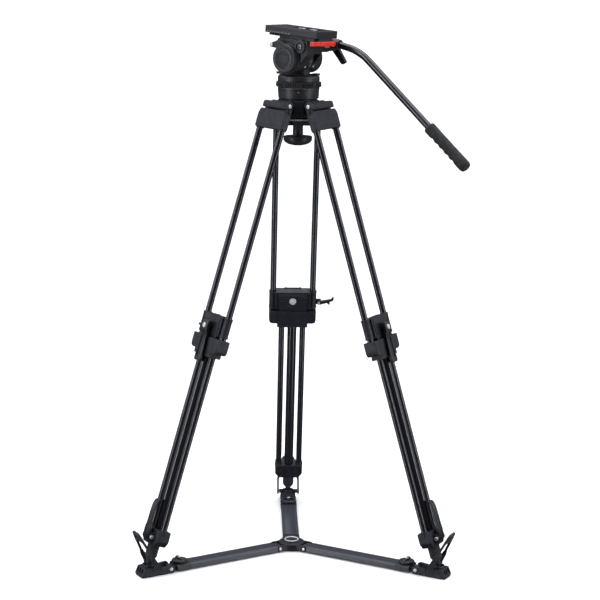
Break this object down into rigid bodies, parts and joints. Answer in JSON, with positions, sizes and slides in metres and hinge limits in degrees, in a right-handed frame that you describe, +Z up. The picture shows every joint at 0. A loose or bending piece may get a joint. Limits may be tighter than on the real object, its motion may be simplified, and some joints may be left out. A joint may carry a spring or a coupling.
{
  "type": "video tripod with fluid head",
  "caption": "Two-stage twin-tube tripod with a ground spreader, foot straps and a bowl-mounted fluid head with a sliding camera plate and an angled pan bar.",
  "frame": {"origin": "on the tripod's vertical axis, at floor level under the spreader hub", "axes": "+Z up along the pan axis; +Y along the back leg's spreader arm; the head is panned so that the pan bar points towards +X and -Y"},
  "size_m": [0.7114, 0.6225, 1.1924],
  "materials": {
    "satin_black_tube": "satin black anodised",
    "slate_arm": "dark slate anodised",
    "black_rubber": "matte",
    "red_lever": "satin red",
    "black_plastic": "fine texture",
    "anodised_plate": "satin black anodised",
    "black_casting": "fine textured black paint"
  },
  "bodies": {
    "spreader": {"spreader_hub": "black_casting", "spreader_channel_back": "slate_arm", "spreader_channel_left": "slate_arm", "spreader_channel_right": "slate_arm"},
    "crown": {"crown": "black_casting"},
    "upper_back": {"leg_bracket_back": "black_casting", "upper_tube_back_a": "satin_black_tube", "upper_tube_back_b": "satin_black_tube", "end_clamp_back": "black_casting"},
    "mid_back": {"mid_slider_back": "black_casting", "mid_frame_back": "satin_black_tube"},
    "upper_lever_back": {"upper_lever_back": "black_plastic"},
    "lower_lever_back": {"lower_lever_back": "black_plastic"},
    "lower_back": {"lower_leg_back": "satin_black_tube"},
    "pad_back": {"spreader_pad_back": "black_plastic"},
    "strap_back": {"foot_strap_back": "black_rubber"},
    "bar_back": {"spreader_bar_back": "slate_arm"},
    "knob_back": {"spreader_knob_back": "black_plastic"},
    "upper_left": {"leg_bracket_left": "black_casting", "upper_tube_left_a": "satin_black_tube", "upper_tube_left_b": "satin_black_tube", "end_clamp_left": "black_casting"},
    "mid_left": {"mid_slider_left": "black_casting", "mid_frame_left": "satin_black_tube"},
    "upper_lever_left": {"upper_lever_left": "black_plastic"},
    "lower_lever_left": {"lower_lever_left": "black_plastic"},
    "lower_left": {"lower_leg_left": "satin_black_tube"},
    "pad_left": {"spreader_pad_left": "black_plastic"},
    "strap_left": {"foot_strap_left": "black_rubber"},
    "bar_left": {"spreader_bar_left": "slate_arm"},
    "knob_left": {"spreader_knob_left": "black_plastic"},
    "upper_right": {"leg_bracket_right": "black_casting", "upper_tube_right_a": "satin_black_tube", "upper_tube_right_b": "satin_black_tube", "end_clamp_right": "black_casting"},
    "mid_right": {"mid_slider_right": "black_casting", "mid_frame_right": "satin_black_tube"},
    "upper_lever_right": {"upper_lever_right": "black_plastic"},
    "lower_lever_right": {"lower_lever_right": "black_plastic"},
    "lower_right": {"lower_leg_right": "satin_black_tube"},
    "pad_right": {"spreader_pad_right": "black_plastic"},
    "strap_right": {"foot_strap_right": "black_rubber"},
    "bar_right": {"spreader_bar_right": "slate_arm"},
    "knob_right": {"spreader_knob_right": "black_plastic"},
    "bowl_clamp": {"tie_down_flange": "black_casting"},
    "head_base": {"half_ball": "black_casting", "pan_base": "black_casting"},
    "tie_down": {"tie_down_handle": "black_plastic"},
    "drag_ring": {"pan_drag_ring": "black_plastic"},
    "pan": {"pan_body": "black_casting"},
    "pan_lock": {"pan_lock_lever": "black_plastic"},
    "tilt": {"tilt_body": "black_casting"},
    "tilt_lock": {"tilt_lock_ring": "black_casting"},
    "plate": {"camera_plate": "anodised_plate"},
    "plate_lock": {"plate_lock_lever": "red_lever"},
    "handle": {"bar_clamp": "black_casting", "pan_bar": "satin_black_tube", "pan_bar_grip": "black_rubber"},
    "handle_lock": {"clamp_lever": "black_plastic"},
    "hook": {"transport_hook": "black_casting"}
  },
  "joints": [
    {"name": "crown_height", "type": "slide", "parent": "spreader", "child": "crown", "axis": [0, 0, 1], "range_m": [-0.0397, 0]},
    {"name": "leg_spread", "type": "hinge", "parent": "crown", "child": "upper_back", "pos_m": [0, 0.0434, 1.02], "axis": [1, 0, 0], "range_deg": [0, 6]},
    {"name": "spreader_extend_back", "type": "slide", "parent": "spreader", "child": "bar_back", "axis": [0, 1, 0], "range_m": [0, 0.1023]},
    {"name": "pad_level_back", "type": "hinge", "parent": "lower_back", "child": "pad_back", "pos_m": [0, 0.36785, 0.02832], "axis": [1, 0, 0], "range_deg": [-6.2, 0.2]},
    {"name": "leg_spread_left", "type": "hinge", "parent": "crown", "child": "upper_left", "pos_m": [-0.03758, -0.0217, 1.02], "axis": [-0.5, 0.866, 0], "range_deg": [0, 6]},
    {"name": "spreader_extend_left", "type": "slide", "parent": "spreader", "child": "bar_left", "axis": [-0.866, -0.5, 0], "range_m": [0, 0.1023]},
    {"name": "pad_level_left", "type": "hinge", "parent": "lower_left", "child": "pad_left", "pos_m": [-0.31857, -0.18393, 0.02832], "axis": [-0.5, 0.866, 0], "range_deg": [-6.2, 0.2]},
    {"name": "leg_spread_right", "type": "hinge", "parent": "crown", "child": "upper_right", "pos_m": [0.03758, -0.0217, 1.02], "axis": [-0.5, -0.866, 0], "range_deg": [0, 6]},
    {"name": "spreader_extend_right", "type": "slide", "parent": "spreader", "child": "bar_right", "axis": [0.866, -0.5, 0], "range_m": [0, 0.1023]},
    {"name": "pad_level_right", "type": "hinge", "parent": "lower_right", "child": "pad_right", "pos_m": [0.31857, -0.18393, 0.02832], "axis": [-0.5, -0.866, 0], "range_deg": [-6.2, 0.2]},
    {"name": "mid_section_back", "type": "slide", "parent": "upper_back", "child": "mid_back", "axis": [0, -0.3019, 0.9533], "range_m": [0, 0.385]},
    {"name": "lower_section_back", "type": "slide", "parent": "mid_back", "child": "lower_back", "axis": [0, 0.3019, -0.9533], "range_m": [0, 0.38]},
    {"name": "mid_section_left", "type": "slide", "parent": "upper_left", "child": "mid_left", "axis": [0.2614, 0.1509, 0.9533], "range_m": [0, 0.385]},
    {"name": "lower_section_left", "type": "slide", "parent": "mid_left", "child": "lower_left", "axis": [-0.2614, -0.1509, -0.9533], "range_m": [0, 0.38]},
    {"name": "mid_section_right", "type": "slide", "parent": "upper_right", "child": "mid_right", "axis": [-0.2614, 0.1509, 0.9533], "range_m": [0, 0.385]},
    {"name": "lower_section_right", "type": "slide", "parent": "mid_right", "child": "lower_right", "axis": [0.2614, -0.1509, -0.9533], "range_m": [0, 0.38]},
    {"name": "upper_lock_back", "type": "hinge", "parent": "mid_back", "child": "upper_lever_back", "pos_m": [0, 0.22481, 0.5463], "axis": [0, 0.9533, 0.3019], "range_deg": [0, 85]},
    {"name": "lower_lock_back", "type": "hinge", "parent": "mid_back", "child": "lower_lever_back", "pos_m": [0, 0.36958, 0.09075], "axis": [-1, 0, 0], "range_deg": [0, 55]},
    {"name": "upper_lock_left", "type": "hinge", "parent": "mid_left", "child": "upper_lever_left", "pos_m": [-0.19469, -0.11241, 0.5463], "axis": [-0.8256, -0.4767, 0.3019], "range_deg": [0, 85]},
    {"name": "lower_lock_left", "type": "hinge", "parent": "mid_left", "child": "lower_lever_left", "pos_m": [-0.32007, -0.18479, 0.09075], "axis": [0.5, -0.866, 0], "range_deg": [0, 55]},
    {"name": "upper_lock_right", "type": "hinge", "parent": "mid_right", "child": "upper_lever_right", "pos_m": [0.19469, -0.11241, 0.5463], "axis": [0.8256, -0.4767, 0.3019], "range_deg": [0, 85]},
    {"name": "lower_lock_right", "type": "hinge", "parent": "mid_right", "child": "lower_lever_right", "pos_m": [0.32007, -0.18479, 0.09075], "axis": [0.5, 0.866, 0], "range_deg": [0, 55]},
    {"name": "level_x", "type": "hinge", "parent": "crown", "child": "bowl_clamp", "pos_m": [0, 0, 1.03], "axis": [1, 0, 0], "range_deg": [-2.5, 2.5]},
    {"name": "level_y", "type": "hinge", "parent": "bowl_clamp", "child": "head_base", "pos_m": [0, 0, 1.03], "axis": [0, 1, 0], "range_deg": [-2.5, 2.5]},
    {"name": "pan", "type": "hinge", "parent": "head_base", "child": "pan", "pos_m": [0, 0, 1.0712], "axis": [0, 0, 1], "continuous": true},
    {"name": "tilt", "type": "hinge", "parent": "pan", "child": "tilt", "pos_m": [0, 0, 1.1225], "axis": [0.6388, 0.7694, 0], "range_deg": [-55, 30]},
    {"name": "plate_slide", "type": "slide", "parent": "tilt", "child": "plate", "axis": [0.7673, -0.6371, -0.0732], "range_m": [-0.03, 0.03]},
    {"name": "pan_bar_angle", "type": "hinge", "parent": "tilt", "child": "handle", "pos_m": [0.0656, 0.02417, 1.14901], "axis": [0.6388, 0.7694, 0], "range_deg": [-90, 15]},
    {"name": "plate_lock", "type": "hinge", "parent": "tilt", "child": "plate_lock", "pos_m": [0.07165, -0.027, 1.15228], "axis": [0.0563, -0.0468, 0.9973], "range_deg": [0, 60]},
    {"name": "tilt_lock", "type": "hinge", "parent": "tilt", "child": "tilt_lock", "pos_m": [-0.03194, -0.03847, 1.1225], "axis": [0.6388, 0.7694, 0], "range_deg": [-45, 20]},
    {"name": "pan_lock", "type": "hinge", "parent": "pan", "child": "pan_lock", "pos_m": [-0.03624, 0.00019, 1.0871], "axis": [0, 0, 1], "range_deg": [-25, 25]},
    {"name": "tie_down_turn", "type": "hinge", "parent": "head_base", "child": "tie_down", "pos_m": [0, 0, 0.94], "axis": [0, 0, 1], "continuous": true},
    {"name": "hook_swing", "type": "hinge", "parent": "mid_back", "child": "hook", "pos_m": [0.062, 0.20695, 0.53645], "axis": [0, 0.9533, 0.3019], "range_deg": [-50, 80]},
    {"name": "strap_back", "type": "hinge", "parent": "pad_back", "child": "strap_back", "pos_m": [0, 0.36, 0.024], "axis": [-1, 0, 0], "range_deg": [-3, 55]},
    {"name": "strap_left", "type": "hinge", "parent": "pad_left", "child": "strap_left", "pos_m": [-0.31177, -0.18, 0.024], "axis": [0.5, -0.866, 0], "range_deg": [-3, 55]},
    {"name": "strap_right", "type": "hinge", "parent": "pad_right", "child": "strap_right", "pos_m": [0.31177, -0.18, 0.024], "axis": [0.5, 0.866, 0], "range_deg": [-3, 55]},
    {"name": "handle_lock", "type": "hinge", "parent": "handle", "child": "handle_lock", "pos_m": [0.07806, 0.03917, 1.14901], "axis": [0.6388, 0.7694, 0], "range_deg": [-90, 90]},
    {"name": "drag_ring", "type": "hinge", "parent": "head_base", "child": "drag_ring", "pos_m": [0, 0, 1.0601], "axis": [0, 0, 1], "range_deg": [0, 90]},
    {"name": "knob_back", "type": "hinge", "parent": "spreader", "child": "knob_back", "pos_m": [0, 0.292, 0.0175], "axis": [0, 0, 1], "range_deg": [0, 270]},
    {"name": "knob_left", "type": "hinge", "parent": "spreader", "child": "knob_left", "pos_m": [-0.25288, -0.146, 0.0175], "axis": [0, 0, 1], "range_deg": [0, 270]},
    {"name": "knob_right", "type": "hinge", "parent": "spreader", "child": "knob_right", "pos_m": [0.25288, -0.146, 0.0175], "axis": [0, 0, 1], "range_deg": [0, 270]}
  ],
  "couplings": [
    {"joint": "crown_height", "follows": "leg_spread", "m_per_rad": -0.37574},
    {"joint": "spreader_extend_back", "follows": "leg_spread", "m_per_rad": 0.9729},
    {"joint": "pad_level_back", "follows": "leg_spread", "ratio": -1},
    {"joint": "leg_spread_left", "follows": "leg_spread", "ratio": 1},
    {"joint": "spreader_extend_left", "follows": "leg_spread", "m_per_rad": 0.9729},
    {"joint": "pad_level_left", "follows": "leg_spread", "ratio": -1},
    {"joint": "leg_spread_right", "follows": "leg_spread", "ratio": 1},
    {"joint": "spreader_extend_right", "follows": "leg_spread", "m_per_rad": 0.9729},
    {"joint": "pad_level_right", "follows": "leg_spread", "ratio": -1}
  ]
}
